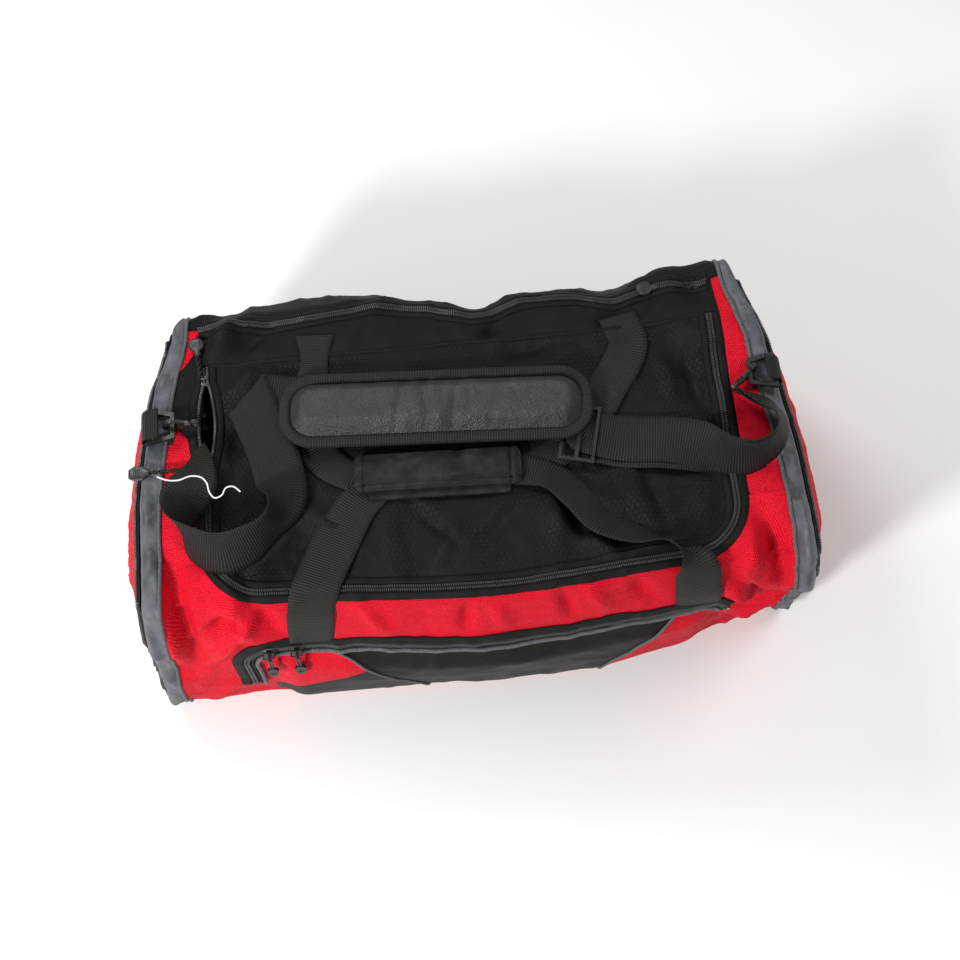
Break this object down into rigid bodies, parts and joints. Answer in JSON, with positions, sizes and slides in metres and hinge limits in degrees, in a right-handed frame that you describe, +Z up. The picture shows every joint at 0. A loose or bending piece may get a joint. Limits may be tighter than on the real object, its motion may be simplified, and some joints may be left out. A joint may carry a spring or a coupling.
{
  "type": "hockey equipment bag",
  "caption": "Soft duffle for hockey kit with a zipped lid, end and front pockets, padded shoulder strap, grab handles and snap hooks.",
  "frame": {"origin": "middle of the underside, on the floor", "axes": "+X along the bag's length, +Y towards the lid's fold, +Z up"},
  "size_m": [0.7346, 0.3789, 0.3203],
  "materials": {
    "red_ripstop": "coated woven polyester",
    "black_fabric": "plain woven polyester",
    "black_ripstop": "honeycomb ripstop",
    "grey_vinyl": "coated cloth, slight sheen",
    "grey_piping": "woven edging",
    "webbing": "ribbed webbing",
    "zip": "nylon coil on tape",
    "pad_leatherette": "pebbled leatherette",
    "wrap_cloth": "padded knit",
    "black_plastic": "moulded acetal",
    "pull_rubber": "soft moulded tab",
    "slider_metal": "black lacquered zinc",
    "board": "stiff sheet",
    "thread": "cotton thread"
  },
  "bodies": {
    "root": {"bottom_panel": "black_fabric", "base_board": "board", "front_panel": "red_ripstop", "rear_panel": "black_fabric", "left_end_panel": "black_fabric", "right_end_panel": "black_fabric", "left_top_band": "red_ripstop", "right_top_band": "red_ripstop", "rear_top_strip": "black_fabric", "left_gusset": "grey_vinyl", "right_gusset": "grey_vinyl", "left_piping": "grey_piping", "right_piping": "grey_piping", "left_end_pocket": "red_ripstop", "right_end_pocket": "red_ripstop", "left_end_zip": "zip", "right_end_zip": "zip", "lid_zip_rim": "zip", "rear_zip": "zip", "front_pocket_face": "black_fabric", "front_pocket_patches": "red_ripstop", "front_pocket_piping": "grey_piping", "front_pocket_zip": "zip", "left_ring_tab": "webbing", "right_ring_tab": "webbing", "tag_thread": "thread"},
    "lid": {"lid_panel": "black_ripstop", "lid_zip_edge": "zip", "wrap_base": "wrap_cloth", "strap_middle": "webbing", "rear_handle": "webbing", "strap_left_loop": "webbing", "strap_right_loop": "webbing"},
    "front_handle": {"front_handle": "webbing"},
    "wrap_flap": {"wrap_flap": "wrap_cloth"},
    "pad": {"shoulder_pad": "pad_leatherette", "pad_binding": "webbing"},
    "adjuster": {"strap_adjuster": "black_plastic"},
    "lid_rear_slider": {"lid_rear_slider": "slider_metal"},
    "lid_side_slider": {"lid_side_slider": "slider_metal"},
    "rear_slider": {"rear_slider": "slider_metal"},
    "pocket_slider_a": {"pocket_slider_a": "slider_metal"},
    "pocket_slider_b": {"pocket_slider_b": "slider_metal"},
    "left_end_slider": {"left_end_slider": "slider_metal"},
    "right_end_slider": {"right_end_slider": "slider_metal"},
    "lid_rear_puller": {"lid_rear_puller": "pull_rubber"},
    "lid_side_puller": {"lid_side_puller": "pull_rubber"},
    "rear_puller": {"rear_puller": "pull_rubber"},
    "pocket_puller_a": {"pocket_puller_a": "pull_rubber"},
    "pocket_puller_b": {"pocket_puller_b": "pull_rubber"},
    "left_end_puller": {"left_end_puller": "pull_rubber"},
    "right_end_puller": {"right_end_puller": "pull_rubber"},
    "left_ring": {"left_ring": "black_plastic"},
    "right_ring": {"right_ring": "black_plastic"},
    "left_hook": {"left_hook": "black_plastic"},
    "right_hook": {"right_hook": "black_plastic"},
    "left_hook_gate": {"left_hook_gate": "black_plastic"},
    "right_hook_gate": {"right_hook_gate": "black_plastic"},
    "left_hook_eye": {"left_hook_eye": "black_plastic"},
    "right_hook_eye": {"right_hook_eye": "black_plastic"}
  },
  "joints": [
    {"name": "lid_open", "type": "hinge", "parent": "root", "child": "lid", "pos_m": [0, 0.101, 0.264], "axis": [-1, 0, 0], "range_deg": [0, 80], "deforming": ["strap_left_loop", "strap_right_loop", "front_handle", "rear_handle", "tag_thread"]},
    {"name": "front_handle_flip", "type": "hinge", "parent": "root", "child": "front_handle", "pos_m": [0, -0.16, 0.262], "axis": [1, 0, 0], "range_deg": [0, 248]},
    {"name": "wrap_flap_open", "type": "hinge", "parent": "lid", "child": "wrap_flap", "pos_m": [-0.03165, -0.06649, 0.27135], "axis": [0.9994, -0.0349, 0], "range_deg": [0, 95]},
    {"name": "pad_slide", "type": "slide", "parent": "lid", "child": "pad", "axis": [0.9981, -0.061, 0], "range_m": [-0.012, 0.01]},
    {"name": "adjuster_slide", "type": "slide", "parent": "lid", "child": "adjuster", "axis": [0.9703, -0.2419, 0], "range_m": [0, 0.018]},
    {"name": "lid_rear_slider_slide", "type": "slide", "parent": "root", "child": "lid_rear_slider", "axis": [0, -1, 0], "range_m": [0, 0.03]},
    {"name": "lid_side_slider_slide", "type": "slide", "parent": "root", "child": "lid_side_slider", "axis": [0, -1, 0], "range_m": [0, 0.01]},
    {"name": "rear_slider_slide", "type": "slide", "parent": "root", "child": "rear_slider", "axis": [-1, 0, 0], "range_m": [0, 0.43]},
    {"name": "pocket_slider_a_slide", "type": "slide", "parent": "root", "child": "pocket_slider_a", "axis": [1, 0, 0], "range_m": [0, 0.012]},
    {"name": "pocket_slider_b_slide", "type": "slide", "parent": "root", "child": "pocket_slider_b", "axis": [1, 0, 0], "range_m": [0, 0.42]},
    {"name": "left_end_slider_slide", "type": "slide", "parent": "root", "child": "left_end_slider", "axis": [0.0869, -0.0061, 0.9962], "range_m": [0, 0.055]},
    {"name": "right_end_slider_slide", "type": "slide", "parent": "root", "child": "right_end_slider", "axis": [-0.0869, -0.0061, 0.9962], "range_m": [0, 0.055]},
    {"name": "lid_rear_pull_lift", "type": "hinge", "parent": "lid_rear_slider", "child": "lid_rear_puller", "pos_m": [-0.26295, 0.084, 0.2694], "axis": [0.9925, 0.1219, 0], "range_deg": [0, 40]},
    {"name": "lid_side_pull_lift", "type": "hinge", "parent": "lid_side_slider", "child": "lid_side_puller", "pos_m": [-0.26295, -0.016, 0.2694], "axis": [0, 1, 0], "range_deg": [0, 10]},
    {"name": "rear_pull_lift", "type": "hinge", "parent": "rear_slider", "child": "rear_puller", "pos_m": [0.252, 0.144, 0.2694], "axis": [-0.0175, 0.9998, 0], "range_deg": [0, 120]},
    {"name": "pocket_pull_a_lift", "type": "hinge", "parent": "pocket_slider_a", "child": "pocket_puller_a", "pos_m": [-0.218, -0.19415, 0.18318], "axis": [-1, 0, 0], "range_deg": [0, 110]},
    {"name": "pocket_pull_b_lift", "type": "hinge", "parent": "pocket_slider_b", "child": "pocket_puller_b", "pos_m": [-0.19, -0.19415, 0.18318], "axis": [-1, 0, 0], "range_deg": [0, 110]},
    {"name": "left_end_pull_lift", "type": "hinge", "parent": "left_end_slider", "child": "left_end_puller", "pos_m": [-0.3326, 0.1694, 0.06062], "axis": [0.0698, 0.9976, 0], "range_deg": [0, 80]},
    {"name": "right_end_pull_lift", "type": "hinge", "parent": "right_end_slider", "child": "right_end_puller", "pos_m": [0.3326, 0.1694, 0.06062], "axis": [0.0698, -0.9976, 0], "range_deg": [0, 80]},
    {"name": "left_ring_swing", "type": "hinge", "parent": "root", "child": "left_ring", "pos_m": [-0.319, 0.032, 0.273], "axis": [0, -1, 0], "range_deg": [0, 20]},
    {"name": "left_hook_swing", "type": "hinge", "parent": "left_ring", "child": "left_hook", "pos_m": [-0.294, 0.032, 0.273], "axis": [0, -1, 0], "range_deg": [0, 20]},
    {"name": "left_gate_open", "type": "hinge", "parent": "left_hook", "child": "left_hook_gate", "pos_m": [-0.2834, 0.032, 0.2791], "axis": [0, -1, 0], "range_deg": [0, 28], "stiffness_Nm_per_rad": 0.02},
    {"name": "left_eye_swivel", "type": "hinge", "parent": "left_hook", "child": "left_hook_eye", "pos_m": [-0.278, 0.032, 0.2737], "axis": [1, 0, 0], "range_deg": [-30, 30]},
    {"name": "right_ring_swing", "type": "hinge", "parent": "root", "child": "right_ring", "pos_m": [0.319, 0.032, 0.273], "axis": [0, 1, 0], "range_deg": [0, 20]},
    {"name": "right_hook_swing", "type": "hinge", "parent": "right_ring", "child": "right_hook", "pos_m": [0.294, 0.032, 0.273], "axis": [0, 1, 0], "range_deg": [0, 20]},
    {"name": "right_gate_open", "type": "hinge", "parent": "right_hook", "child": "right_hook_gate", "pos_m": [0.28588, 0.02519, 0.2791], "axis": [-0.6428, 0.766, 0], "range_deg": [0, 28], "stiffness_Nm_per_rad": 0.02},
    {"name": "right_eye_swivel", "type": "hinge", "parent": "right_hook", "child": "right_hook_eye", "pos_m": [0.28174, 0.02172, 0.2737], "axis": [-0.766, -0.6428, 0], "range_deg": [-30, 30]}
  ],
  "couplings": [
    {"joint": "front_handle_flip", "follows": "lid_open", "ratio": 3.1}
  ]
}
